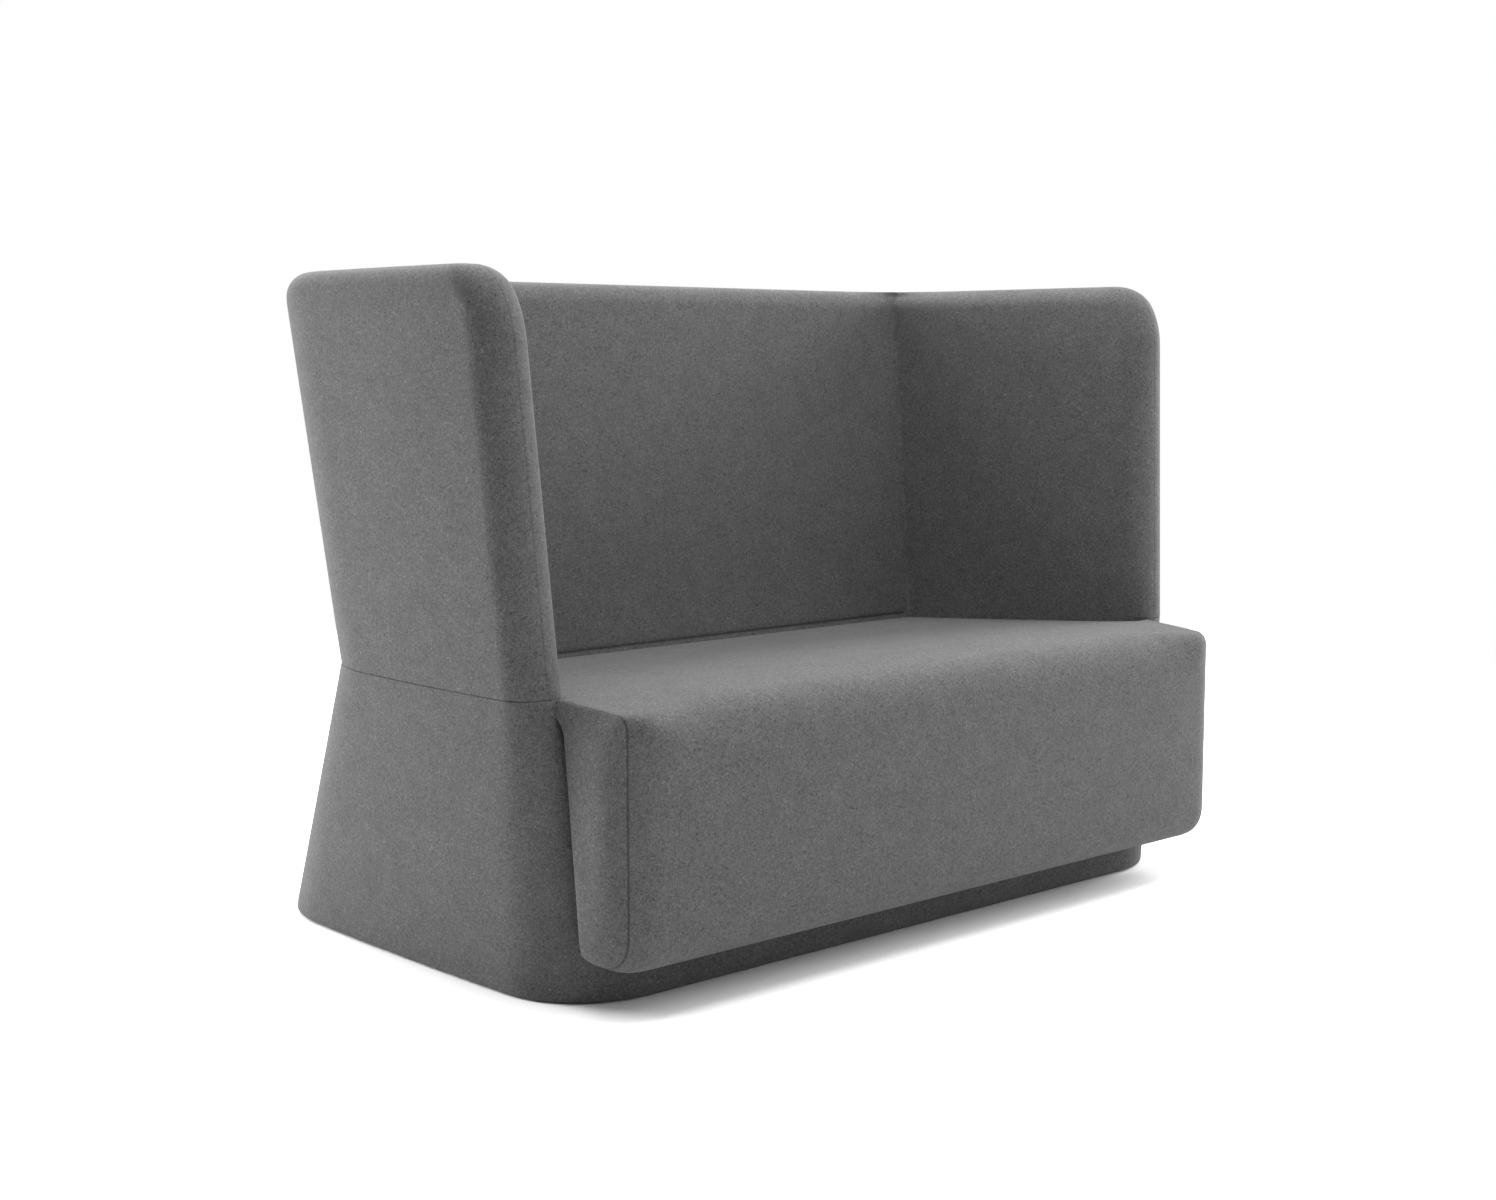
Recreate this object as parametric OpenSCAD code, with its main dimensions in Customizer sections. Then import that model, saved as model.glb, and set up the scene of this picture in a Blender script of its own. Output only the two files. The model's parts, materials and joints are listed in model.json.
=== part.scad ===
// High-backed two-seat lounge sofa. An upholstered timber shell with two wings
// and a reclined back narrows to a waist at seat height, and a deep seat block
// comes forward out of it. Millimetres, +Z up, front towards -Y, origin on the
// floor under the middle of the sofa.

/* [Shell] */
// Overall height of the shell
shell_h = 1027; // [1000:1:1060]
// Height of the waist seam, where base and upper shell meet
waist_z = 434; // [428:1:440]
// Height of the upholstered hem above the floor
hem_z = 2; // [2:1:8]
// Half width of the shell at the floor
half_floor = 690; // [680:1:710]
// Half width of the shell at the waist
half_waist = 728; // [715:1:740]
// Half width of the shell at the top
half_top = 761; // [745:1:775]
// Thickness of the wings
wing_t = 92; // [90:1:98]
// Extra thickness of the wings at the back
wing_toe = 29; // [20:1:34]
// Outward bow of the sides halfway along
side_bow = 4; // [0:1:8]
// Plan radius of the rear corners
rear_r = 240; // [230:5:250]

/* [Side profile] */
// Y of the back at the floor
back_floor = 498; // [480:1:510]
// Y of the back at the waist
back_waist = 281; // [278:1:288]
// Y of the back at the top
back_top = 372; // [368:1:380]
// Y of the nose at the floor
nose_floor = -391; // [-400:1:-380]
// Y of the nose at the waist
nose_waist = -342; // [-350:1:-335]
// Y of the nose at the top
nose_top = -303; // [-315:1:-290]
// Y of the inner back at the waist
inner_waist = 193; // [188:1:198]
// Y of the inner back at the top
inner_top = 274; // [266:1:282]

/* [Seat] */
// Half width of the seat block in front of the wings
seat_half = 671; // [660:1:676]
// Y of the seat block's front face
seat_front = -496; // [-510:1:-490]
// Height of the seat block's underside
seat_under = 64; // [60:1:72]
// Height of the seat at the noses
seat_z = 433; // [430:1:434]
// Fall of the seat from the noses to the back
seat_fall = 37; // [32:1:42]

/* [Fittings] */
// Distance of the levelling feet from the centre line
foot_x = 500; // [460:5:520]
// Y of the front feet
foot_front = -250; // [-270:5:-220]
// Y of the rear feet
foot_rear = 330; // [300:5:350]
// Radius of the feet's threaded studs, M8
stud_r = 3.95; // [3.9:0.01:3.97]

/* [Hidden] */

felt = [0.40, 0.40, 0.41];
felt_dark = [0.34, 0.34, 0.35];
beech = [0.80, 0.64, 0.44];
ply = [0.85, 0.72, 0.52];
steel = [0.66, 0.67, 0.70];
black = [0.12, 0.12, 0.13];

gap = 0.5;          // clearance between neighbouring pieces
skin = 22;          // foam and cover outside the timber
core = 46;          // depth of the pocket for the timber of a wing
edge_in = 34;       // foam in front of and above the timber
back_skin = 18;     // foam behind the back's timber
back_core = 27;     // depth of the back's timber
post_w = 45;        // width of the timber posts
frame_half = 535;   // half width of the seat box
frame_low = 88;     // underside of the seat box
frame_top = 290;    // top of the seat box
box_front = seat_front + 62;
box_rear = 150;
felt_z = 306;      // underside of the felt over the springs
foam_z = 313;      // underside of the seat's foam

// --- shape of the shell -------------------------------------------------
function lerp(a, b, t) = a + (b - a) * t;
function prof(z, f, w, t) = z < waist_z ? lerp(f, w, z / waist_z)
    : lerp(w, t, (z - waist_z) / (shell_h - waist_z));
function wide(z) = prof(z, half_floor, half_waist, half_top);
function rear(z) = prof(z, back_floor, back_waist, back_top);
function nose(z) = prof(z, nose_floor, nose_waist, nose_top);
function inner(z) = lerp(inner_waist, inner_top, (z - waist_z) / (shell_h - waist_z));
// Radius of the nose's outer edge: wide at the floor, tight at the waist
function nose_r(z) = z < waist_z ? lerp(150, 46, z / waist_z)
    : lerp(46, 49, (z - waist_z) / (shell_h - waist_z));
// Setback of the nose where its top corner is rounded
function nod(z, r = 105) = z > shell_h - r ? (r - sqrt(max(0, r * r - pow(z - (shell_h - r), 2)))) * 0.72 : 0;
// Inset of an edge rounded with radius r, at height h below the top
function fil(h, r) = h >= r ? 0 : r - sqrt(r * r - (r - h) * (r - h));
function arc(cx, cy, r, a0, a1, n) = [for (k = [0:n]) let (a = lerp(a0, a1, k / n)) [cx + r * cos(a), cy + r * sin(a)]];
module mirrored(s) { if (s < 0) mirror([1, 0, 0]) children(); else children(); }

// Solid through a list of level outlines, each counter-clockwise, z rising
module loft(zs, outlines) {
    n = len(outlines[0]);
    m = len(zs);
    pts = [for (k = [0:m - 1]) for (q = outlines[k]) [q[0], q[1], zs[k]]];
    polyhedron(points = pts, faces = concat(
        [[for (i = [0:n - 1]) i]],
        [[for (i = [0:n - 1]) m * n - 1 - i]],
        [for (k = [0:m - 2]) for (i = [0:n - 1]) [k * n + i, (k + 1) * n + i, (k + 1) * n + (i + 1) % n]],
        [for (k = [0:m - 2]) for (i = [0:n - 1]) [k * n + i, (k + 1) * n + (i + 1) % n, k * n + (i + 1) % n]]),
        convexity = 6);
}

// The same for outlines that are bands, whose points i and n - 1 - i face each
// other across the band
module band(zs, outlines) {
    n = len(outlines[0]);
    m = len(zs);
    t = (m - 1) * n;
    pts = [for (k = [0:m - 1]) for (q = outlines[k]) [q[0], q[1], zs[k]]];
    polyhedron(points = pts, faces = concat(
        [for (i = [0:n / 2 - 2]) [i, i + 1, n - 2 - i, n - 1 - i]],
        [for (i = [0:n / 2 - 2]) [t + n - 1 - i, t + n - 2 - i, t + i + 1, t + i]],
        [for (k = [0:m - 2]) for (i = [0:n - 1]) [k * n + i, (k + 1) * n + i, (k + 1) * n + (i + 1) % n]],
        [for (k = [0:m - 2]) for (i = [0:n - 1]) [k * n + i, (k + 1) * n + (i + 1) % n, k * n + (i + 1) % n]]),
        convexity = 6);
}

// Straight timber between two heights on the right side. da and db are its
// depths inside the outer face, p and q its Y limits at the two heights.
module strut(z1, z2, da, db, p, q) {
    loft([z1, z2], [
        [[wide(z1) - db, p[0]], [wide(z1) - da, p[0]], [wide(z1) - da, p[1]], [wide(z1) - db, p[1]]],
        [[wide(z2) - db, q[0]], [wide(z2) - da, q[0]], [wide(z2) - da, q[1]], [wide(z2) - db, q[1]]]]);
}

module rail(size, at) { translate(at) cube(size, center = true); }

// --- levelling feet ------------------------------------------------------
module foot_at(sx, sy) { translate([sx * foot_x, sy < 0 ? foot_front : foot_rear, 0]) children(); }

module foot_pad(sx, sy) color(black) foot_at(sx, sy) difference() {
    rotate_extrude($fn = 64) polygon([[0, 0], [19, 0], [21, 1.5], [21, 5], [18, 7.6], [0, 7.6]]);
    translate([0, 0, 3]) cylinder(r = 5.6, h = 10, $fn = 6);
}
module foot_stud(sx, sy) color(steel) foot_at(sx, sy) union() {
    translate([0, 0, 3.05]) cylinder(r = 5.5, h = 4.5, $fn = 6);
    translate([0, 0, 7]) cylinder(r = stud_r, h = 33, $fn = 48);
}
module t_nut() {
    difference() {
        union() {
            translate([0, 0, 8.6]) cylinder(r = 11, h = 1.4, $fn = 48);
            translate([0, 0, 9.5]) cylinder(r = 5.4, h = 14, $fn = 48);
        }
        translate([0, 0, 5]) cylinder(r = 4.0, h = 30, $fn = 48);
    }
}
module t_nuts() color(steel) for (sx = [-1, 1], sy = [-1, 1]) foot_at(sx, sy) t_nut();
// Blocks for the feet, screwed to the front rail and under the front cross
// rail, and to the rear rail
module corner_blocks() color(beech) for (sx = [-1, 1], sy = [-1, 1]) difference() {
    y0 = sy < 0 ? front_rail_y + 24 : foot_rear - 40;
    y1 = sy < 0 ? -192 : rear_rail_y;
    translate([sx * foot_x - 35, y0 + 0.3, 10.1]) cube([70, y1 - y0 - 0.6, 31.6]);
    foot_at(sx, sy) translate([0, 0, 5]) cylinder(r = 5.6, h = 60, $fn = 48);
}

// --- base frame ------------------------------------------------------------
rail_z0 = 12;
rail_z1 = 70;
front_rail_y = nose_floor + 28;
rear_rail_y = rear(rail_z1) - 66;
side_rail_x = wide(rail_z0) - skin - 24;

module base_front_rail() color(beech) rail([2 * (half_floor - 158), 24, rail_z1 - rail_z0], [0, front_rail_y + 12, (rail_z0 + rail_z1) / 2]);
module base_rear_rail() color(beech) rail([2 * 530, 24, rail_z1 - rail_z0], [0, rear_rail_y + 12, (rail_z0 + rail_z1) / 2]);
module base_side_rail(s) color(beech) mirrored(s)
    rail([22, (rear_rail_y - 150) - (front_rail_y + 134), rail_z1 - rail_z0],
        [side_rail_x - 1 + 11, ((rear_rail_y - 150) + (front_rail_y + 134)) / 2, (rail_z0 + rail_z1) / 2]);

cross_y = [-180, 110];
module base_cross_rails() color(beech) difference() {
    for (y = cross_y) rail([2 * (side_rail_x - 2), 45, 45], [0, y, 64.5]);
    for (sx = [-1, 1], y = cross_y) translate([sx * (frame_half - 12.5), y, 20]) cylinder(r = 4.2, h = 100, $fn = 32);
}
// Steel straps from the side rails over the inner faces of front and rear rail
module base_brackets() color(steel) for (s = [-1, 1]) mirrored(s) {
    translate([0, 0, 42.5]) linear_extrude(25) polygon([
        [half_floor - 215, front_rail_y + 24.2], [half_floor - 168, front_rail_y + 24.2],
        [side_rail_x - 1.4, front_rail_y + 134], [side_rail_x - 1.4, front_rail_y + 158],
        [side_rail_x - 4.4, front_rail_y + 158], [side_rail_x - 4.4, front_rail_y + 135.5],
        [half_floor - 169, front_rail_y + 27.2], [half_floor - 215, front_rail_y + 27.2]]);
    translate([0, 0, 42.5]) linear_extrude(25) polygon([
        [400, rear_rail_y - 0.2], [400, rear_rail_y - 3.2], [449, rear_rail_y - 3.2],
        [side_rail_x - 4.4, rear_rail_y - 152], [side_rail_x - 4.4, rear_rail_y - 200],
        [side_rail_x - 1.4, rear_rail_y - 200], [side_rail_x - 1.4, rear_rail_y - 151],
        [451, rear_rail_y - 0.2]]);
}
// Black lining under the whole base, inside the hem
function dust_side() = let (z = 7, w = wide(z) - skin - 2, f = nose(z), b = rear(z), r = rear_r - skin - 2)
    concat([[wide(z) - 162, f + 24], [wide(z) - 162, f + 66], [w - 70, f + 66], [w, f + 156]],
        arc(w - r, b - skin - 2 - r, r, 0, 90, 10));
module dust_cover() color(black) translate([0, 0, 6]) linear_extrude(1.6) difference() {
    polygon(concat(dust_side(), [for (k = [len(dust_side()) - 1:-1:0]) let (p = dust_side()[k]) [-p[0], p[1]]]));
    for (sx = [-1, 1], sy = [-1, 1]) foot_at(sx, sy) circle(r = 24, $fn = 48);
}

// --- lower shell -----------------------------------------------------------
// The timber of the base stands inside the outer foam, between hem and waist
low_a = skin + gap;
low_b = skin + post_w;
nose_in = 62;       // depth of solid foam at the nose
post_z0 = 74;
post_z1 = waist_z - 46;

module lower_front_posts() color(beech) for (s = [-1, 1]) mirrored(s)
    strut(post_z0, post_z1, low_a + 3, low_b, [nose(post_z0) + nose_r(post_z0) + 5, nose(post_z0) + nose_r(post_z0) + 45],
        [nose(post_z1) + nose_in + 5, nose(post_z1) + nose_in + 45]);
module lower_rear_posts() color(beech) for (s = [-1, 1]) mirrored(s)
    strut(post_z0, post_z1, low_a + 4, low_b, [rear(post_z0) - rear_r - 60, rear(post_z0) - rear_r - 20],
        [rear(post_z1) - rear_r - 60, rear(post_z1) - rear_r - 20]);

bolt_y = [-220, -20];
bolt_xb = [-330, -110, 110, 330];
bolt_d = skin + 24; // depth of the shell bolts inside the outer face
bolt_yb = 252;   // Y of the bolts under the back
module bolt_holes() {
    for (s = [-1, 1], y = bolt_y) translate([s * (half_waist - bolt_d), y, waist_z - 60]) cylinder(r = 4.2, h = 120, $fn = 32);
    for (x = bolt_xb) translate([x, bolt_yb, waist_z - 60]) cylinder(r = 4.2, h = 120, $fn = 32);
}
module waist_rail(s) color(beech) difference() {
    mirrored(s) strut(waist_z - 45, waist_z - 1, low_a + 4, low_b, [nose_waist + nose_in + 4, 30], [nose_waist + nose_in + 4, 30]);
    bolt_holes();
}
module waist_rail_back() color(beech) difference() {
    rail([2 * (half_waist - rear_r - 6), 28, 44], [0, bolt_yb - 8, waist_z - 23]);
    bolt_holes();
}
// Plywood skins behind the outer foam of the base
panel_z0 = 90;
module lower_panel(s) color(ply) mirrored(s)
    strut(panel_z0, post_z1, low_b + gap, low_b + 9, [nose(panel_z0) + nose_in + 14, rear(panel_z0) - rear_r - 20],
        [nose(post_z1) + nose_in + 2, rear(post_z1) - rear_r - 20]);
module lower_panel_back() color(ply)
    loft([post_z0, post_z1], [for (z = [post_z0, post_z1]) [[-430, rear(z) - 42], [430, rear(z) - 42], [430, rear(z) - 30], [-430, rear(z) - 30]]]);

low_zs = [hem_z, 90, 200, 320, waist_z];
function side_curve(z, i) = let (y0 = nose(z) + nose_r(z), y1 = rear(z) - rear_r, n = 5)
    [for (k = [1:n - 1]) let (t = k / n) [wide(z) - i + side_bow * 4 * t * (1 - t), lerp(y0, y1, t)]];
// Outline of the foam round nose and side of the base, right side: its outer
// path from the nose's inner edge back, then its inner path forwards
function low_outer(z) = let (w = wide(z), f = nose(z), r = nose_r(z), xin = w - max(wing_t, r + 6))
    concat([[xin, f]], arc(w - r, f + r, r, 270, 360, 8), side_curve(z, 0), [[w, rear(z) - rear_r - gap]]);
function low_inner(z) = let (w = wide(z), f = nose(z), r = nose_r(z), xin = w - max(wing_t, r + 6),
        p = [xin, f + nose_in], q = [w - skin - max(0, r - nose_in) * 0.75 - 1, f + nose_in],
        u = [w - skin, f + max(nose_in, r) + 1], v = [w - skin, rear(z) - rear_r - gap])
    concat([for (k = [0:5]) lerp(p, q, k / 5)], [for (k = [1:4]) lerp(q, u, k / 4)], [for (k = [1:5]) lerp(u, v, k / 5)]);
function turned(p) = [for (k = [len(p) - 1:-1:0]) p[k]];
module lower_side_pad(s) color(felt) mirrored(s) band(low_zs, [for (z = low_zs) concat(low_outer(z), turned(low_inner(z)))]);
function low_corner(z) = let (w = wide(z), b = rear(z), r = rear_r)
    concat(arc(w - r, b - r, r, 0, 90, 12), arc(w - r, b - r, r - skin, 90, 0, 12));
module lower_corner_pad(s) color(felt) mirrored(s) band([hem_z, waist_z], [for (z = [hem_z, waist_z]) low_corner(z)]);
module lower_back_pad() color(felt) loft([hem_z, waist_z], [for (z = [hem_z, waist_z]) let (w = wide(z) - rear_r - gap, b = rear(z))
    [[-w, b - skin], [w, b - skin], [w, b], [-w, b]]]);
module plinth_pad() color(felt_dark) loft([hem_z, rail_z1], [for (z = [hem_z, rail_z1]) let (w = wide(z) - max(wing_t, nose_r(z) + 6) - gap, f = nose(z))
    [[-w, f], [w, f], [w, f + 20], [-w, f + 20]]]);

// --- upper shell -----------------------------------------------------------
up_z0 = waist_z + 1;
core_z1 = shell_h - edge_in;
up_a = skin + 1;
up_b = skin + core - 1;
rail_h = 45;
function front_core(z) = nose(z) + edge_in + 14 + nod(z);
function rear_core(z) = rear(z) - 168;

module wing_sill(s) color(beech) difference() {
    mirrored(s) strut(up_z0, up_z0 + rail_h, up_a, up_b, [front_core(up_z0), rear_core(up_z0)], [front_core(up_z0 + rail_h), rear_core(up_z0 + rail_h)]);
    bolt_holes();
}
pz0 = up_z0 + rail_h + gap;
pz1 = core_z1 - rail_h - gap;
module wing_front_post(s) color(beech) mirrored(s) strut(pz0, pz1, up_a, up_b,
    [front_core(pz0), front_core(pz0) + post_w], [front_core(pz1) + 3, front_core(pz1) + 3 + post_w]);
module wing_rear_post(s) color(beech) mirrored(s) strut(pz0, pz1, up_a, up_b,
    [rear_core(pz0) - post_w, rear_core(pz0)], [rear_core(pz1) - post_w, rear_core(pz1)]);
module wing_top_rail(s) color(beech) mirrored(s) strut(pz1 + gap, core_z1 - 1, up_a, up_b,
    [front_core(core_z1) + 1, rear_core(pz1)], [front_core(core_z1) + 1, rear_core(core_z1)]);
module wing_panel(s) color(ply) mirrored(s) strut(pz0, pz1, up_b - 10, up_b,
    [front_core(pz0) + post_w + gap, rear_core(pz0) - post_w - gap], [front_core(pz1) + 3 + post_w + gap, rear_core(pz1) - post_w - gap]);

up_zs = [waist_z + gap, 640, 840, shell_h - 90, shell_h - 60, shell_h - 38, shell_h - 22, shell_h - 10, shell_h - 3, shell_h];
up_r = 36;          // rounding of the top edges
// Outline of a wing, right side, with the top edge's rounding
function wing_out(z) = let (i = fil(shell_h - z, up_r), w = wide(z), f = nose(z) + nod(z) + i * 0.4,
        ri = max(4, 43 - i), r = max(6, min(nose_r(z) - i, wing_t - 2 * i - ri - 0.5)),
        xo = w - i, xi = w - wing_t + i, b = rear(z), d = wing_t + wing_toe)
    concat(arc(xi + ri, f + ri, ri, 180, 270, 4), arc(xo - r, f + r, r, 270, 360, 8),
        side_curve(z, i),
        arc(w - rear_r, b - rear_r, rear_r - i, 0, acos((rear_r - d) / (rear_r - i)), 8),
        [[w - d, inner(z) + min(i, 16)]]);
function wing_pocket(z) = let (w = wide(z)) [
    [w - skin - core, front_core(z) - gap], [w - skin, front_core(z) - gap],
    [w - skin, rear_core(z) + gap], [w - skin - core, rear_core(z) + gap]];
// X of a wing's inner face at the waist's slant, which thickens to the back
function toe_x(z, y) = wide(z) - wing_t - wing_toe * (y - nose_waist - 28) / (inner_waist - nose_waist - 28);
// The inner foam runs on below the waist as an apron, down behind the seat
apron_z0 = seat_z - seat_fall - 30;
module wing_pad(s) color(felt) mirrored(s) union() {
    difference() {
        loft(up_zs, [for (z = up_zs) wing_out(z)]);
        loft([waist_z - 5, shell_h - 90, core_z1], [wing_pocket(waist_z), wing_pocket(shell_h - 90), wing_pocket(core_z1)]);
    }
    loft([apron_z0, waist_z + 6], [for (z = [apron_z0, waist_z + 6]) let (ya = nose_waist + 80, yb = inner_waist - 2)
        [[toe_x(z, ya) + 0.6, ya], [toe_x(z, ya) + 12, ya], [toe_x(z, yb) + 8, yb], [toe_x(z, yb) + 0.6, yb]]]);
}

// Back between the wings; its outer corners follow the rear corner radius
bz = [waist_z + gap, 640, 840, shell_h - 38, shell_h - 22, shell_h - 10, shell_h - 3, shell_h];
function back_y(z, x) = rear(z) - rear_r + sqrt(rear_r * rear_r - pow(max(0, x - (wide(z) - rear_r)), 2));
function back_i(z, x) = min(fil(shell_h - z, up_r), 0.44 * (back_y(z, x) - inner(z)));
function back_x(z, k) = lerp(wide(z) - wing_t - wing_toe - gap, wide(z) - rear_r, k / 5);
function back_out(z) = concat(
    [for (k = [0:5]) let (x = back_x(z, k)) [-x, inner(z) + back_i(z, x)]],
    [for (k = [5:-1:0]) let (x = back_x(z, k)) [x, inner(z) + back_i(z, x)]],
    [for (k = [0:5]) let (x = back_x(z, k)) [x, back_y(z, x) - back_i(z, x)]],
    [for (k = [5:-1:0]) let (x = back_x(z, k)) [-x, back_y(z, x) - back_i(z, x)]]);
back_w = 540;       // half width of the back's timber
function back_y0(z) = rear(z) - back_skin - back_core;
apron_x = half_waist - wing_t - wing_toe - 10;
module back_pad() color(felt) union() {
    difference() {
        loft(bz, [for (z = bz) back_out(z)]);
        loft([waist_z - 5, core_z1], [for (z = [waist_z - 5, core_z1]) let (y = back_y0(max(z, waist_z)), w = back_w + gap)
            [[-w, y - gap], [w, y - gap], [w, y + back_core], [-w, y + back_core]]]);
    }
    translate([0, 0, apron_z0]) linear_extrude(waist_z + 5 - apron_z0)
        polygon([[-apron_x, inner_waist + 1.5], [apron_x, inner_waist + 1.5], [apron_x, inner_waist + 8.5], [-apron_x, inner_waist + 8.5]]);
}
module back_bar(z1, z2, x0, x1, d0, d1) {
    loft([z1, z2], [for (z = [z1, z2]) [[x0, back_y0(z) + d0], [x1, back_y0(z) + d0], [x1, back_y0(z) + d1], [x0, back_y0(z) + d1]]]);
}
module back_sill() color(beech) difference() {
    back_bar(up_z0, up_z0 + rail_h, -back_w, back_w, 0.5, back_core - 1);
    bolt_holes();
}
module back_top_rail() color(beech) back_bar(core_z1 - rail_h, core_z1 - 1, -back_w, back_w, 0.5, back_core - 1);
module back_uprights() color(beech) for (x = [-back_w, -post_w / 2, back_w - post_w])
    back_bar(up_z0 + rail_h + gap, core_z1 - rail_h - gap, x, x + post_w, 6.5, back_core - 1);
module back_panel() color(ply) back_bar(up_z0 + rail_h + 16, core_z1 - rail_h - gap, -back_w, back_w, 0.5, 6);

module bolt(l) {
    cylinder(r = 4, h = l, $fn = 32);
    translate([0, 0, -5]) cylinder(r = 6.5, h = 5.2, $fn = 6);
    translate([0, 0, l - 14]) cylinder(r = 7, h = 6.5, $fn = 6);
}
module shell_bolts() color(steel) {
    for (s = [-1, 1], y = bolt_y) translate([s * (half_waist - bolt_d), y, waist_z - 45.6]) bolt(106);
    for (x = bolt_xb) translate([x, bolt_yb, waist_z - 45.6]) bolt(106);
}

// --- seat ------------------------------------------------------------------
rt = 25;            // thickness of the seat box's timber
module seat_front_rail() color(beech) rail([2 * (frame_half + 55), rt, frame_top - frame_low], [0, box_front + rt / 2, (frame_top + frame_low) / 2]);
module seat_rear_rail() color(beech) rail([2 * frame_half, rt, frame_top - frame_low], [0, box_rear - rt / 2, (frame_top + frame_low) / 2]);
module seat_side_rails() color(beech) difference() {
    for (s = [-1, 1]) rail([rt, box_rear - box_front - 2 * rt - 2 * gap, frame_top - frame_low], [s * (frame_half - rt / 2), (box_front + box_rear) / 2, (frame_top + frame_low) / 2]);
    for (s = [-1, 1], y = cross_y) translate([s * (frame_half - 12.5), y, frame_low - 5]) cylinder(r = 4.2, h = 55, $fn = 32);
}
module seat_bolts() color(steel) for (s = [-1, 1], y = cross_y) translate([s * (frame_half - 12.5), y, 41.4]) union() {
    cylinder(r = 4, h = 92, $fn = 32);
    translate([0, 0, -5]) cylinder(r = 6.5, h = 5.2, $fn = 6);
}
// Sinuous spring: a wire bent in a zigzag, from the front to the rear rail
spring_x = [for (k = [-3:3]) k * 150];
spring_n = 96;      // points along a spring
spring_l = box_rear - box_front - 20;
function wave_x(t) = t < 0.06 || t > 0.94 ? 0 : 20 * sin(360 * 11 * (t - 0.06) / 0.88);
function wave_p(t) = [wave_x(t), box_front + 10 + spring_l * t];
function wave_q(t, o) = let (a = wave_p(max(0, t - 0.002)), b = wave_p(min(1, t + 0.002)), d = b - a, l = norm(d))
    wave_p(t) + o * [d[1], -d[0]] / l;
module seat_springs() color(steel) for (x = spring_x) translate([x, 0, frame_top + 8]) linear_extrude(3.8)
    polygon(concat([for (k = [0:spring_n]) wave_q(k / spring_n, 1.9)], [for (k = [spring_n:-1:0]) wave_q(k / spring_n, -1.9)]));
module spring_clips() color(steel) for (x = spring_x, y = [box_front + 12.5, box_rear - 12.5])
    translate([x, y, frame_top + 0.1]) union() {
        translate([-14, -8, 0]) cube([28, 16, 7.6]);
        translate([-14, -8, 12.2]) cube([28, 16, 2.4]);
        translate([10, -8, 7]) cube([4, 16, 6]);
        translate([-14, -8, 7]) cube([4, 16, 6]);
    }
module spring_felt() color(felt_dark) rail([2 * (frame_half - 4), box_rear - box_front - 6, foam_z - felt_z - 1],
    [0, (box_rear + box_front) / 2, (foam_z + felt_z) / 2 - 0.2]);

seat_in = wing_t + 2;     // seat's distance inside the wings' outer faces
// Seat pad between the wings, its top falling towards the back
module seat_top_pad() color(felt) {
    a0 = nose(foam_z) - 2;
    y0 = nose(seat_z) - 2;
    y1 = inner_waist - 3;
    hw = wide(foam_z) - seat_in;
    hv = wide(seat_z) - seat_in;
    hr = toe_x(foam_z, y1) - 2;
    hs = toe_x(seat_z - seat_fall, y1) - 2;
    polyhedron(points = [[-hw, a0, foam_z], [hw, a0, foam_z], [hr, y1 - 6, foam_z], [-hr, y1 - 6, foam_z],
        [-hv, y0, seat_z], [hv, y0, seat_z], [hs, y1, seat_z - seat_fall], [-hs, y1, seat_z - seat_fall]],
        faces = [[0, 1, 2, 3], [7, 6, 5, 4], [0, 4, 5], [0, 5, 1], [1, 5, 6], [1, 6, 2], [2, 6, 7], [2, 7, 3], [3, 7, 4], [3, 4, 0]]);
}
// Front of the seat block, in front of the noses, wrapped round the front rail
fr = 70;            // plan radius of the seat block's front corners
front_zs = [seat_under, seat_under + 6, seat_under + 20, seat_under + 50, 370, 396, 414, 426, seat_z];
function front_in(z) = z < seat_under + 50 ? fil(z - seat_under, 50) * 0.8 : z > 370 ? fil(seat_z + 2 - z, 66) * 0.62 : 0;
function front_out(z) = let (i = front_in(z), x = seat_half - i * 0.6, yf = seat_front + i, yb = nose(z) - 2.5, r = fr)
    concat([[-x, yb]], arc(-x + r, yf + r, r, 180, 270, 8), arc(x - r, yf + r, r, 270, 360, 8), [[x, yb]]);
module seat_front_pad() color(felt) difference() {
    loft(front_zs, [for (z = front_zs) front_out(z)]);
    translate([-(frame_half + 56), box_front - gap, frame_low - 1]) cube([2 * (frame_half + 56), 300, foam_z - frame_low + 1]);
}

// --- left and right pieces ---------------------------------------------------
module foot_pad_front_left() foot_pad(-1, -1);
module foot_pad_front_right() foot_pad(1, -1);
module foot_pad_rear_left() foot_pad(-1, 1);
module foot_pad_rear_right() foot_pad(1, 1);
module foot_stud_front_left() foot_stud(-1, -1);
module foot_stud_front_right() foot_stud(1, -1);
module foot_stud_rear_left() foot_stud(-1, 1);
module foot_stud_rear_right() foot_stud(1, 1);
module base_side_rail_left() base_side_rail(-1);
module base_side_rail_right() base_side_rail(1);
module waist_rail_left() waist_rail(-1);
module waist_rail_right() waist_rail(1);
module lower_panel_left() lower_panel(-1);
module lower_panel_right() lower_panel(1);
module lower_side_pad_left() lower_side_pad(-1);
module lower_side_pad_right() lower_side_pad(1);
module lower_corner_pad_left() lower_corner_pad(-1);
module lower_corner_pad_right() lower_corner_pad(1);
module wing_sill_left() wing_sill(-1);
module wing_sill_right() wing_sill(1);
module wing_front_post_left() wing_front_post(-1);
module wing_front_post_right() wing_front_post(1);
module wing_rear_post_left() wing_rear_post(-1);
module wing_rear_post_right() wing_rear_post(1);
module wing_top_rail_left() wing_top_rail(-1);
module wing_top_rail_right() wing_top_rail(1);
module wing_panel_left() wing_panel(-1);
module wing_panel_right() wing_panel(1);
module wing_pad_left() wing_pad(-1);
module wing_pad_right() wing_pad(1);

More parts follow.
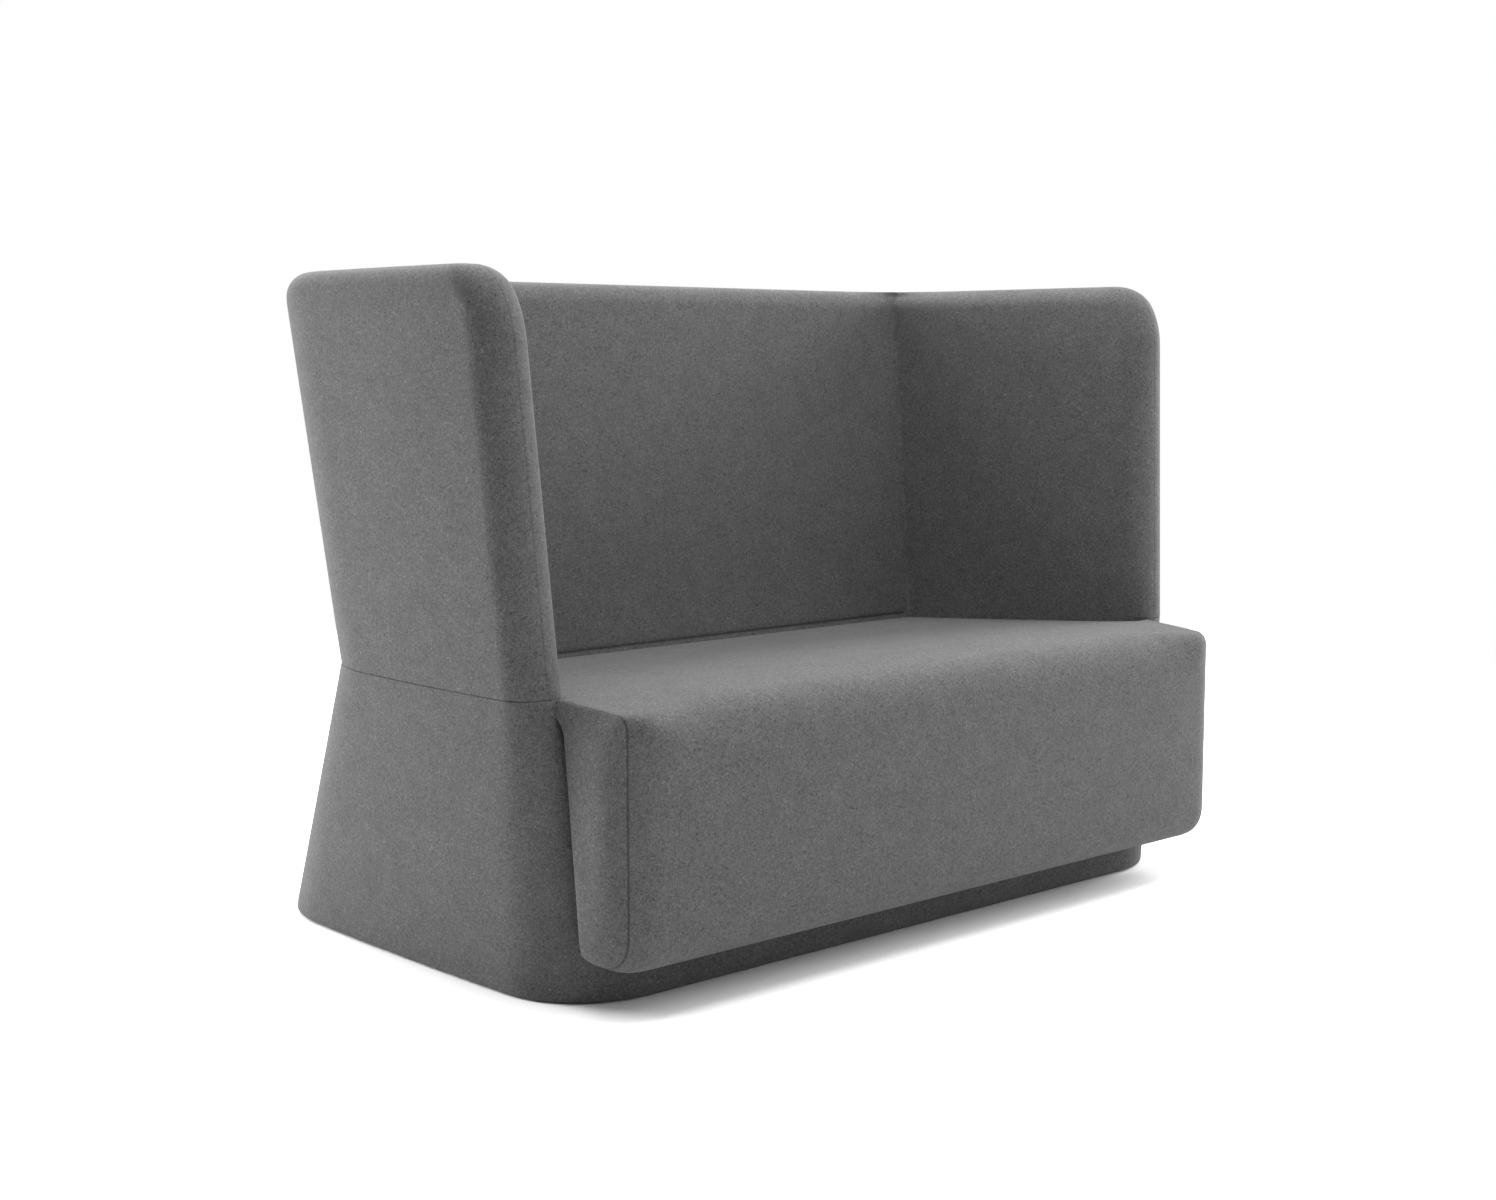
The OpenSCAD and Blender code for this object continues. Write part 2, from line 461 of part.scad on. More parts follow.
foot_pad_front_left();
foot_pad_front_right();
foot_pad_rear_left();
foot_pad_rear_right();
foot_stud_front_left();
foot_stud_front_right();
foot_stud_rear_left();
foot_stud_rear_right();
corner_blocks();
t_nuts();
base_front_rail();
base_rear_rail();
base_side_rail_left();
base_side_rail_right();
base_cross_rails();
base_brackets();
dust_cover();
lower_front_posts();
lower_rear_posts();
waist_rail_left();
waist_rail_right();
waist_rail_back();
lower_panel_left();
lower_panel_right();
lower_panel_back();
lower_side_pad_left();
lower_side_pad_right();
lower_corner_pad_left();
lower_corner_pad_right();
lower_back_pad();
plinth_pad();
wing_sill_left();
wing_sill_right();
wing_front_post_left();
wing_front_post_right();
wing_rear_post_left();
wing_rear_post_right();
wing_top_rail_left();
wing_top_rail_right();
wing_panel_left();
wing_panel_right();
wing_pad_left();
wing_pad_right();
back_sill();
back_top_rail();
back_uprights();
back_panel();
back_pad();
shell_bolts();
seat_front_rail();
seat_rear_rail();
seat_side_rails();
seat_springs();
spring_clips();
spring_felt();
seat_top_pad();
seat_front_pad();
seat_bolts();
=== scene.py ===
import json
import math
import bpy
import numpy as np
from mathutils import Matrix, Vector


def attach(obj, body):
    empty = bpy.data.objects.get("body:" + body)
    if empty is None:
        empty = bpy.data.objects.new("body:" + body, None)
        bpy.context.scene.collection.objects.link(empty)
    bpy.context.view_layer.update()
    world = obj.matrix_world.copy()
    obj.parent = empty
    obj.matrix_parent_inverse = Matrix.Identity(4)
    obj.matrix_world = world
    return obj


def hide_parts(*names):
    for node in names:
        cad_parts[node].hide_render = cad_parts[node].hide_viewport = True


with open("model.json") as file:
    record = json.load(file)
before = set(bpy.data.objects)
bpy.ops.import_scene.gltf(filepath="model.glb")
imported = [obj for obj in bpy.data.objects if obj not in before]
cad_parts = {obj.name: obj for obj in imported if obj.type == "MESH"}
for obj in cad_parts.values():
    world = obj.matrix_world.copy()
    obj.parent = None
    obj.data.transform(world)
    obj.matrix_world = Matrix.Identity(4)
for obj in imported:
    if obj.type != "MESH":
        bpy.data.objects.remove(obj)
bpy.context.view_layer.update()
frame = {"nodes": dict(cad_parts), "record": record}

# ---------------------------------------------------------------------------
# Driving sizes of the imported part, in millimetres
# ---------------------------------------------------------------------------
H, WZ = 1027.0, 434.0
HALF = (690.0, 728.0, 761.0)      # half width at floor, waist and top
REAR = (498.0, 281.0, 372.0)
NOSE = (-391.0, -342.0, -303.0)
INNER = (193.0, 274.0)
TOE = 29.0                        # extra thickness of the wings at the back
WT = 92.0                         # thickness of a wing
RR = 240.0                        # plan radius of the rear corners
SEAT_X, SEAT_Y = 671.0, -496.0
SEAT_Z0, SEAT_Z1, FALL = 64.0, 433.0, 37.0
INNER_HW = HALF[1] - WT - 2.0     # seat's half width between the wings
SEAM_DEPTH = 2.2                  # depth of the seams' grooves


def lerp(a, b, t):
    return a + (b - a) * t


def prof(z, v):
    return lerp(v[0], v[1], z / WZ) if z < WZ else lerp(v[1], v[2], (z - WZ) / (H - WZ))


def nose_r(z):
    return lerp(150.0, 46.0, z / WZ) if z < WZ else lerp(46.0, 49.0, (z - WZ) / (H - WZ))


def inner(z):
    return lerp(INNER[0], INNER[1], (z - WZ) / (H - WZ))


def fil(h, r):
    h = min(max(h, 0.0), r)
    return r - math.sqrt(max(0.0, r * r - (r - h) ** 2))


def arc(cx, cy, r, a0, a1, n):
    a = np.radians(np.linspace(a0, a1, n + 1))
    return np.stack([cx + r * np.cos(a), cy + r * np.sin(a)], 1)


def seg(p, q, n):
    t = np.linspace(0, 1, n + 1)[:, None]
    return np.asarray(p, float) * (1 - t) + np.asarray(q, float) * t


def join(*parts):
    out = [np.asarray(parts[0], float)]
    for p in parts[1:]:
        out.append(np.asarray(p, float)[1:])
    return np.concatenate(out)


class Skin:
    """Collects vertices and faces; equal vertices are shared by key."""

    def __init__(self):
        self.v, self.f, self.key = [], [], {}

    def at(self, key, p):
        if key not in self.key:
            self.key[key] = len(self.v)
            self.v.append(tuple(p))
        return self.key[key]

    def quad(self, *ids):
        out = []
        for i in ids:
            if not out or (i != out[-1]):
                out.append(i)
        if len(out) > 2 and out[0] == out[-1]:
            out.pop()
        if len(set(out)) == len(out) and len(out) > 2:
            self.f.append(tuple(out))

    def mesh(self, name):
        me = bpy.data.meshes.new(name)
        me.from_pydata([tuple(c * 0.001 for c in p) for p in self.v], [], self.f)
        me.update()
        ob = bpy.data.objects.new(name, me)
        bpy.context.scene.collection.objects.link(ob)
        return ob


def coords(ob):
    a = np.zeros(len(ob.data.vertices) * 3)
    ob.data.vertices.foreach_get("co", a)
    return a.reshape(-1, 3)


def put(ob, a):
    ob.data.vertices.foreach_set("co", a.ravel())
    ob.data.update()


def normals(ob):
    a = np.zeros(len(ob.data.vertices) * 3)
    ob.data.vertices.foreach_get("normal", a)
    return a.reshape(-1, 3)


def orient(ob):
    """Normals outwards on a closed mesh or a sheet around the middle."""
    bpy.context.view_layer.objects.active = ob
    ob.select_set(True)
    bpy.ops.object.mode_set(mode="EDIT")
    bpy.ops.mesh.select_all(action="SELECT")
    bpy.ops.mesh.normals_make_consistent(inside=False)
    bpy.ops.object.mode_set(mode="OBJECT")
    ob.select_set(False)


def edges_of(ob):
    e = np.zeros(len(ob.data.edges) * 2, np.int64)
    ob.data.edges.foreach_get("vertices", e)
    return e.reshape(-1, 2)


def smooth_field(ob, field, free, rounds):
    """Averages a value per vertex with its neighbours, where free."""
    e = edges_of(ob)
    n = len(field)
    deg = np.bincount(e.ravel(), minlength=n).astype(float)
    deg[deg == 0] = 1
    f = field.copy()
    for _ in range(rounds):
        s = np.bincount(e[:, 0], f[e[:, 1]], n) + np.bincount(e[:, 1], f[e[:, 0]], n)
        f = np.where(free, 0.5 * f + 0.5 * s / deg, f)
    return f


def crown(ob, pinned, cap, frames=20, pressure=4.0):
    """Inflates a cover with Cloth between its pinned seams. The sideways part
    of the motion is dropped, and no point moves out further than cap, in
    metres."""
    if cap <= 0:
        return
    rest = coords(ob)
    nrm = normals(ob)
    sim = ob.copy()
    sim.data = ob.data.copy()
    bpy.context.scene.collection.objects.link(sim)
    group = sim.vertex_groups.new(name="seam")
    group.add([int(i) for i in np.nonzero(pinned)[0]], 1.0, "REPLACE")
    mod = sim.modifiers.new("cloth", "CLOTH")
    s = mod.settings
    s.quality = 5
    s.mass = 0.35
    s.tension_stiffness = s.compression_stiffness = 18
    s.shear_stiffness = 8
    s.bending_stiffness = 2.0
    s.tension_damping = s.compression_damping = 12
    s.use_pressure = True
    s.uniform_pressure_force = pressure
    s.vertex_group_mass = "seam"
    s.effector_weights.gravity = 0
    mod.collision_settings.use_collision = False
    mod.collision_settings.use_self_collision = False
    mod.point_cache.frame_start = 1
    mod.point_cache.frame_end = frames
    scene = bpy.context.scene
    for f in range(1, frames + 1):
        scene.frame_set(f)
    dep = bpy.context.evaluated_depsgraph_get()
    got = sim.evaluated_get(dep).data
    a = np.zeros(len(got.vertices) * 3)
    got.vertices.foreach_get("co", a)
    moved = ((a.reshape(-1, 3) - rest) * nrm).sum(1)
    moved = np.nan_to_num(moved)
    scene.frame_set(1)
    bpy.data.objects.remove(sim)
    moved = np.clip(moved, -0.2 * cap, None)
    free = ~pinned
    moved = smooth_field(ob, np.where(free, moved, 0.0), free, 6)
    top = np.quantile(moved[free], 0.97) if free.any() else 1.0
    if top > 1e-6:
        moved = moved * (cap * 1.1 / max(top, cap * 0.4))
    moved = cap * np.tanh(moved / cap)
    put(ob, rest + nrm * moved[:, None])


def groove(ob, depth):
    """Pulls the cover in along its seams: depth in millimetres per vertex. The same amount is also stored
    as a mark that paints shade into the seams' colour.
    """
    put(ob, coords(ob) - normals(ob) * depth[:, None] * 0.001 * SEAM_DEPTH)
    # painted shade: this mark darkens the colour in the seam's groove, standing in for the shade that falls
    # into it
    seam_shade_mark = ob.data.attributes.new("seam", "FLOAT", "POINT")
    seam_shade_mark.data.foreach_set("value", np.clip(depth * 1.1, 0, 1))


def finish_mesh(ob, subdivide=1, thick=0.0):
    if subdivide:
        m = ob.modifiers.new("sub", "SUBSURF")
        m.levels = m.render_levels = subdivide
        m.boundary_smooth = "PRESERVE_CORNERS"
    if thick:
        m = ob.modifiers.new("foam", "SOLIDIFY")
        m.thickness = thick
        m.offset = -1.0
        m.use_even_offset = False
        m.use_rim = True
    if ob.modifiers:
        dep = bpy.context.evaluated_depsgraph_get()
        me = bpy.data.meshes.new_from_object(ob.evaluated_get(dep))
        ob.modifiers.clear()
        old = ob.data
        ob.data = me
        bpy.data.meshes.remove(old)
        me.name = ob.name
    ob.data.polygons.foreach_set("use_smooth", [True] * len(ob.data.polygons))
    ob.data.update()


# ---------------------------------------------------------------------------
# Upper shell: two wings and the back under one cover
# ---------------------------------------------------------------------------
N_NOSE, N_SIDE, N_CORNER, N_BACK = 14, 30, 16, 44
NOSE_IN = 43.0                      # radius of the noses' inner edge
K_SEAM = 5                          # station of the seam on the nose
N_IN_SIDE = 38
N_IN_BACK = N_SIDE + N_CORNER + N_BACK - N_IN_SIDE
K_NOSE = N_NOSE
K_IN = K_NOSE + N_IN_SIDE           # station of the inner corner
TOP_R = 34.0
SEAM_R = 1.0
SEAM_W = 1.9                        # half width of a seam's groove
NOSE_TOP = 105.0                    # radius of the wings' top front corner


def nose_back(z):
    """How far the nose is set back where its top corner is rounded."""
    h = H - z
    return fil(h, NOSE_TOP) * 0.72


def spread(n, ends=0.0):
    """n + 1 values from 0 to 1, closer together near the ends."""
    t = np.linspace(0, 1, n + 1)
    return lerp(t, 0.5 - 0.5 * np.cos(np.pi * t), ends)


def upper_half(z):
    """Right half of the outline at height z: outer and inner path, both from
    the nose's tip to the middle of the back."""
    i = fil(H - z, TOP_R)
    w, b, R = prof(z, HALF), prof(z, REAR), RR
    f = prof(z, NOSE) + nose_back(z) + i * 0.35
    xi0 = w - WT
    ri = max(5.0, NOSE_IN - i)
    r = max(7.0, min(nose_r(z) - i, WT - 2 * i - ri - 0.6))
    cx, cy = w - R, b - R
    # wall thickness along the path, for the rounding of the top edges
    xc = xi0 - TOE
    tc = R - math.hypot(xc - cx, inner(z) - cy)
    io = min(fil(H - z, 46.0), 0.76 * tc)
    limit_c = 0.20 * tc
    limit_b = 0.44 * (b - inner(z))
    xo, xs = w - i - r, xi0 + i + ri
    out = arc(xo, f + r, r, 300, 360, N_NOSE)
    near_seam = math.degrees(max(0.6, SEAM_W - (xo - xs)) / r)
    inn = np.concatenate([arc(xo, f + r, r, 300, 270 + near_seam, K_SEAM - 1), [(xs, f)],
                          arc(xs, f + ri, ri, 270 - math.degrees(SEAM_W / ri), 180, N_NOSE - K_SEAM - 1)])
    y0, y1 = f + r, cy
    t = spread(N_SIDE, 0.4)
    side = np.stack([w - i + 4 * 4 * t * (1 - t), lerp(y0, y1, t)], 1)
    a = np.radians(np.linspace(0, 90, N_CORNER + 1))
    # the inset eases from the side's to the corner's and to the back's
    ic = np.array([lerp(i, io, math.sin(2 * q) ** 2) for q in a])
    corner = np.stack([cx + (R - ic) * np.cos(a), cy + (R - ic) * np.sin(a)], 1)
    tb = np.linspace(0, 1, N_BACK + 1)
    back = np.stack([cx * (1 - tb), np.full(N_BACK + 1, b - min(i, limit_b))], 1)
    outer = join(out, side, corner, back)
    t = spread(N_IN_SIDE, 0.35)
    yc = inner(z)
    near = np.clip((t - 0.80) / 0.20, 0, 1)
    near = near * near * (3 - 2 * near)
    ik = lerp(i, min(i, limit_c), near)
    iside = np.stack([lerp(xi0, xc, t) + ik, lerp(f + ri, yc + min(i, limit_c), t)], 1)
    t = spread(N_IN_BACK, 0.25)
    near = np.clip((0.16 - t) / 0.16, 0, 1)
    near = near * near * (3 - 2 * near)
    ik = lerp(min(i, limit_b), min(i, limit_c), near)
    iback = np.stack([(xc + min(i, limit_c)) * (1 - t), yc + ik], 1)
    inner_path = join(inn, iside, iback)
    return outer, inner_path


def both_halves(path):
    """Left half, mirrored, in front of the right half: left tip to right tip."""
    left = path.copy()
    left[:, 0] *= -1
    return np.concatenate([left[:-1], path[::-1]])




def upper_levels():
    zs = [(WZ + 0.25, SEAM_R), (WZ + 0.45, 0.45), (WZ + 0.9, 0.12), (WZ + 3.0, 0.0), (WZ + 9.0, 0.0)]
    z = WZ + 22.0
    while z < H - NOSE_TOP - 6:
        zs.append((z, 0.0))
        z += 20.0
    for a in np.linspace(0, 1, 9)[:-1]:
        zs.append((H - NOSE_TOP + (NOSE_TOP - TOP_R) * a, 0.0))
    for a in np.radians(list(np.linspace(0, 90 - math.degrees(SEAM_W / TOP_R), 10)) + [90]):
        zs.append((H - TOP_R + TOP_R * math.sin(a), 0.0))
    return zs


def build_upper():
    s = Skin()
    levels = upper_levels()
    loops = []
    for z, inset in levels:
        o, i = upper_half(z)
        o, i = both_halves(o), both_halves(i)
        if inset:
            # seam rounding: pull the outline in along its own normal
            o = offset(o, -inset)
            d = np.minimum(np.arange(len(i)), len(i) - 1 - np.arange(len(i)))
            keep = np.clip((K_NOSE - 1.0 - d) / 4.0, 0, 1)[:, None]
            i = i * (1 - keep) + offset(i, inset) * keep
            o[0], o[-1] = (o[0] + i[0]) / 2, (o[-1] + i[-1]) / 2
        loops.append((z, o, i))
    K = len(loops[0][1]) - 1
    kinds = {}

    def V(j, k, inner_side):
        z, o, i = loops[j]
        if k in (0, K):
            inner_side = False
        p = (i if inner_side else o)[k]
        return s.at((j, k, inner_side), (p[0], p[1], z))

    n = len(loops)
    for j in range(n - 1):
        for k in range(K):
            s.quad(V(j, k, 0), V(j, k + 1, 0), V(j + 1, k + 1, 0), V(j + 1, k, 0))
            s.quad(V(j, k + 1, 1), V(j, k, 1), V(j + 1, k, 1), V(j + 1, k + 1, 1))
    # top: bridge the outer and the inner path
    M = 5
    z, o, i = loops[-1]

    def T(k, m):
        if k in (0, K) or m == 0:
            return V(n - 1, k, 0)
        if m == M:
            return V(n - 1, k, 1)
        t = 0.94 * m / (M - 1) if m < M - 1 else 1 - SEAM_W / max(4 * SEAM_W, np.linalg.norm(o[k] - i[k]))
        q = o[k] * (1 - t) + i[k] * t
        return s.at(("top", k, m), (q[0], q[1], z))

    for k in range(K):
        for m in range(M):
            s.quad(T(k, m), T(k + 1, m), T(k + 1, m + 1), T(k, m + 1))
    # inner apron: the inner faces run on below the waist behind the seat
    z0, o, i = loops[0]
    A = 6
    half = len(i) // 2

    def drop(k):
        d = min(k, K - k)
        return 70.0 * float(np.clip((d - K_SEAM - 2) / 3.0, 0, 1))

    inner_in = offset(i, 7.0)
    drops = (0.0, 14.0, 28.2, 30.2, 32.2, 50.0, 70.0)
    # the slope of the inner faces, carried on below the waist
    lean = (loops[5][2] - loops[3][2]) / (loops[5][0] - loops[3][0])

    def P(k, a, back):
        if k in (0, K):
            return V(0, k, 0)
        if a == 0 and not back:
            return V(0, k, 1)
        d = drop(k) / 70.0 * drops[a]
        q = (inner_in if back else i)[k] - lean[k] * d
        return s.at(("apron", k, a, back), (q[0], q[1], z0 - d))

    for k in range(K):
        for a in range(A):
            s.quad(P(k + 1, a, 0), P(k, a, 0), P(k, a + 1, 0), P(k + 1, a + 1, 0))
            s.quad(P(k, a, 1), P(k + 1, a, 1), P(k + 1, a + 1, 1), P(k, a + 1, 1))
        s.quad(P(k + 1, A, 0), P(k, A, 0), P(k, A, 1), P(k + 1, A, 1))
        s.quad(V(0, k + 1, 0), V(0, k, 0), P(k, 0, 1), P(k + 1, 0, 1))
    ob = s.mesh("upper_cover")
    keys = {v: k for k, v in s.key.items()}
    pin = np.zeros(len(s.v), bool)
    for v, key in keys.items():
        if key[0] == "apron":
            pin[v] = True
        elif key[0] == "top":
            continue
        else:
            j, k, side = key
            d = min(k, K - k)
            if j <= 3:
                pin[v] = True
            if side and abs(d - K_IN) <= 0:
                pin[v] = True
            if side and d == K_SEAM:
                pin[v] = True
            if j == n - 1 and side:
                pin[v] = True
    orient(ob)
    # per vertex: depth of the seams' grooves, and the strength of the painted shade that darkens their
    # colour
    seam = np.zeros(len(s.v))
    for v, key in keys.items():
        if key[0] == "apron" and key[2] == 3 and not key[3]:
            if min(key[1], K - key[1]) > K_IN + 1:
                seam[v] = 0.8
        if key[0] in ("apron", "top"):
            continue
        j, k, side = key
        d = min(k, K - k)
        if side and d == K_SEAM and j > 3:
            seam[v] = 0.3
        if side and j == n - 1 and d > K_SEAM:
            seam[v] = 0.8
        if side and d == K_IN and 3 < j < n - 4:
            z = loops[j][0]
            seam[v] = 0.2 + 0.2 * math.sin(z / 31.0) * math.sin(z / 13.0 + 1.0)
    return ob, pin, keys, seam


def offset(path, d):
    """Moves a left-to-right path sideways by d: positive is towards the
    outer side of the shell, for a path seen from its inner side."""
    t = np.gradient(path, axis=0)
    t /= np.linalg.norm(t, axis=1)[:, None] + 1e-9
    n = np.stack([t[:, 1], -t[:, 0]], 1)
    # the path runs from the left nose round the back to the right nose, so
    # its left-hand side is the outer one
    return path - n * d


# ---------------------------------------------------------------------------
# Base: sides, rear corners, back and plinth under one cover
# ---------------------------------------------------------------------------
B_STRIP, B_FLAT, B_ARC, B_SIDE, B_CORNER, B_BACK = 40, 4, 14, 30, 18, 44
B_INARC, B_RET = 6, 4
PLINTH_TOP = 76.0


def base_half(z, i=0.0):
    """Right half of the base's outline at height z, from the return of the
    nose (or the middle of the plinth) round to the middle of the back."""
    w, b, f, R = prof(z, HALF), prof(z, REAR), prof(z, NOSE), RR
    r = nose_r(z)
    xin = w - max(WT, r + 8.0)
    ri = max(5.0, min(NOSE_IN, w - r - xin - 3.0))
    low = z <= PLINTH_TOP + 0.01
    if low:
        strip = seg((0, f + i), (xin - 40, f + i), B_STRIP)
        ret = seg((xin - 40, f + i), (xin - 20, f + i), B_RET)
        ina = seg((xin - 20, f + i), (xin + 20, f + i), B_INARC)
        flat = seg((xin + 20, f + i), (w - r, f + i), B_FLAT) if w - r > xin + 21 else None
        if flat is None:
            ina = seg((xin - 20, f + i), (xin, f + i), B_INARC)
            flat = seg((xin, f + i), (w - r, f + i), B_FLAT)
    else:
        strip = None
        ret = seg((xin + 2, f + 60), (xin + 2, f + ri), B_RET)
        ina = arc(xin + 2 + ri, f + ri, ri, 180, 270, B_INARC)
        x1 = max(w - r, xin + 2 + ri + 1)
        flat = seg((xin + 2 + ri, f), (x1, f), B_FLAT)
    out = arc(w - r, f + r, r - i, 270, 360, B_ARC)
    t = spread(B_SIDE, 0.3)
    side = np.stack([w - i + 4 * 4 * t * (1 - t), lerp(f + r, b - R, t)], 1)
    corner = arc(w - R, b - R, R - i, 0, 90, B_CORNER)
    tb = np.linspace(0, 1, B_BACK + 1)
    back = np.stack([(w - R) * (1 - tb), np.full(B_BACK + 1, b - i)], 1)
    rest = join(ret, ina, flat, out, side, corner, back)
    return strip, rest


def base_levels():
    zs = [(2.0, 22.0), (2.0, 6.0), (2.4, 2.0), (4.5, 0.5), (10.0, 0.0), (24, 0), (38, 0), (52, 0), (64, 0), (PLINTH_TOP, 0)]
    z = 92.0
    while z < WZ - 26:
        zs.append((z, 0.0))
        z += 15.5
    zs += [(WZ - 20, 0), (WZ - 9, 0), (WZ - 3.0, 0.0), (WZ - 0.9, 0.12), (WZ - 0.45, 0.45), (WZ - 0.25, SEAM_R), (WZ - 0.25, 14.0)]
    return zs


def build_base():
    s = Skin()
    levels = base_levels()
    rows = []
    for z, i in levels:
        strip, rest = base_half(z, i if z < 100 else 0.0)
        if z >= 100 and i:
            q = both_halves(rest)
            q = offset(q, -i)
            half = len(rest)
            rest = q[half - 1:][::-1].copy()
        rows.append((z, strip, rest))
    n = len(rows)
    K = len(rows[0][2]) - 1

    def V(j, k, sgn):
        z, _, rest = rows[j]
        p = rest[k]
        key = ("r", j, k, sgn if k < K else 0)
        return s.at(key, (p[0] * sgn if k < K else 0.0, p[1], z))

    def S(j, k, sgn):
        z, strip, rest = rows[j]
        if k == B_STRIP:
            return V(j, 0, sgn)
        p = strip[k]
        return s.at(("s", j, k, sgn if k else 0), (p[0] * sgn, p[1], z))

    for sgn in (1, -1):
        for j in range(n - 1):
            for k in range(K):
                s.quad(V(j, k, sgn), V(j, k + 1, sgn), V(j + 1, k + 1, sgn), V(j + 1, k, sgn))
            if rows[j + 1][1] is not None:
                for k in range(B_STRIP):
                    s.quad(S(j, k, sgn), S(j, k + 1, sgn), S(j + 1, k + 1, sgn), S(j + 1, k, sgn))
    ob = s.mesh("base_cover")
    keys = {v: k for k, v in s.key.items()}
    pin = np.zeros(len(s.v), bool)
    for v, key in keys.items():
        j, k = key[1], key[2]
        z = rows[j][0]
        if j <= 4 or j >= n - 5:
            pin[v] = True
        if key[0] == "r" and k <= B_RET + B_INARC + 2:
            pin[v] = True
        if key[0] == "s" and z >= PLINTH_TOP - 13:
            pin[v] = True
    return ob, pin, keys


# ---------------------------------------------------------------------------
# Seat: one cover over front and top, with side panels
# ---------------------------------------------------------------------------
FR = 70.0            # plan radius of the front corners
SEAM_X = SEAT_X - FR + FR * math.sin(math.radians(45))
TOP_FR, BOT_FR = 62.0, 50.0
TOP_CORNER = 22.0    # rounding of the top edge at the corner seams
CORNER_FALL = 8.0    # fall of the top towards the front corners
SEAT_SEAM_W = 1.3    # half width of the corner seams' grooves
SIDE_BOT = 44.0
SIDE_TOP = 36.0      # the side panel leaves the top's seam at a slope of 45 degrees
SIDE_W = SIDE_TOP * (1 - math.sin(math.radians(45)))
CLEFT = 18.0         # rounding of the side panels towards the noses
CORNER = 6.0         # lift of the side panels' lower rear corners
M_SIDE = 7
FILL = 4             # rows of the top beside the noses' roundings


def seat_xs():
    inner_hw = INNER_HW
    xs = list(np.linspace(0, 560, 40)) + [572, 584, 594, 603, 611, 618, 624, 629, inner_hw]
    for x in (640, 645, SEAM_X - SEAT_SEAM_W, SEAM_X, SEAM_X + SEAT_SEAM_W, 655, 659, 662.5, 665.3, 667.4, 669, 670.1, 670.7, SEAT_X):
        xs.append(x)
    return xs


def top_x(x):
    """Where a line of the cover lies on the top: the seam runs further out
    there than on the front."""
    goal = SEAT_X - SIDE_W - 1.0
    if x <= INNER_HW:
        return x
    if x <= SEAM_X:
        return lerp(INNER_HW, goal, (x - INNER_HW) / (SEAM_X - INNER_HW))
    return lerp(goal, SEAT_X, ((x - SEAM_X) / (SEAT_X - SEAM_X)) ** 0.8)


def top_drop(x):
    u = x - (SEAT_X - SIDE_TOP)
    if x < SEAT_X - SIDE_W:
        return 0.0
    return SIDE_TOP * math.cos(math.radians(45)) - math.sqrt(max(0.0, SIDE_TOP ** 2 - u * u))


def cleft(z):
    """Rounding of the side panels at height z: none under the top's edge."""
    t = min(1.0, max(0.0, (SEAT_Z1 - 8.0 - z) / 30.0))
    return lerp(3.0, CLEFT, t * t * (3 - 2 * t))


def under_z(x, s):
    """Underside of the seat block at x; s runs from 0 to 1 over its last
    stretch towards the nose, where the corners are rounded."""
    near = min(1.0, max(0.0, (x - (SEAT_X - SIDE_BOT)) / SIDE_BOT))
    return SEAT_Z0 + fil(SEAT_X - x, SIDE_BOT) + CORNER * near * near * (1 - math.sqrt(max(0.0, 1 - s * s)))


def slice_at(x, xt):
    """Profile at x; its top edge is where the cover lies at xt."""
    u = max(0.0, x - (SEAT_X - FR))
    setback = FR - math.sqrt(max(0.0, FR * FR - u * u))
    lift = fil(SEAT_X - x, SIDE_BOT) if x > SEAT_X - SIDE_BOT else 0.0
    drop = top_drop(xt)
    y0 = SEAT_Y + setback
    z0, z1 = SEAT_Z0 + lift, SEAT_Z1 - drop
    turn = fil(SEAT_X - x, 3.0) if x > SEAT_X - 3.0 else 0.0
    yb0 = prof(z0, NOSE) - 4.0 - (fil(SEAT_X - x, CLEFT) if x > SEAT_X - CLEFT else 0.0)
    yn = prof(SEAT_Z1, NOSE) - 4.0
    near = min(1.0, max(0.0, (x - (SEAM_X - 145.0)) / 145.0))
    rb, rt = BOT_FR, lerp(TOP_FR, TOP_CORNER, near ** 2 * (3 - 2 * near))
    near = min(1.0, max(0.0, (x - (SEAM_X - 200.0)) / 200.0))
    zf = z1 - CORNER_FALL * near ** 2 * (3 - 2 * near) - 0.7 * drop
    room = yb0 - y0 - 6.0
    rb = min(rb, room)
    rt = min(rt, yn - turn - y0 - 6.0)
    a = np.radians(np.linspace(0, 90, 9))
    bottom = seg((yb0, z0), (y0 + rb, z0), M_SIDE)
    bottom[:, 1] = [under_z(x, 1 - k / 3.0 if k < 3 else 0.0) for k in range(M_SIDE + 1)]
    bf = np.stack([y0 + rb - rb * np.sin(a), z0 + rb - rb * np.cos(a)], 1)
    zt = np.linspace(z0 + rb, zf - rt, 19)
    front = np.stack([np.full(19, y0), zt], 1)
    a = np.radians(np.linspace(0, 90, 11))
    tf = np.stack([y0 + rt - rt * np.cos(a), zf - rt + rt * np.sin(a)], 1)
    top = seg((y0 + rt, zf), (yn - turn, z1), M_SIDE)
    return join(bottom, bf, front, tf, top), yn, z1


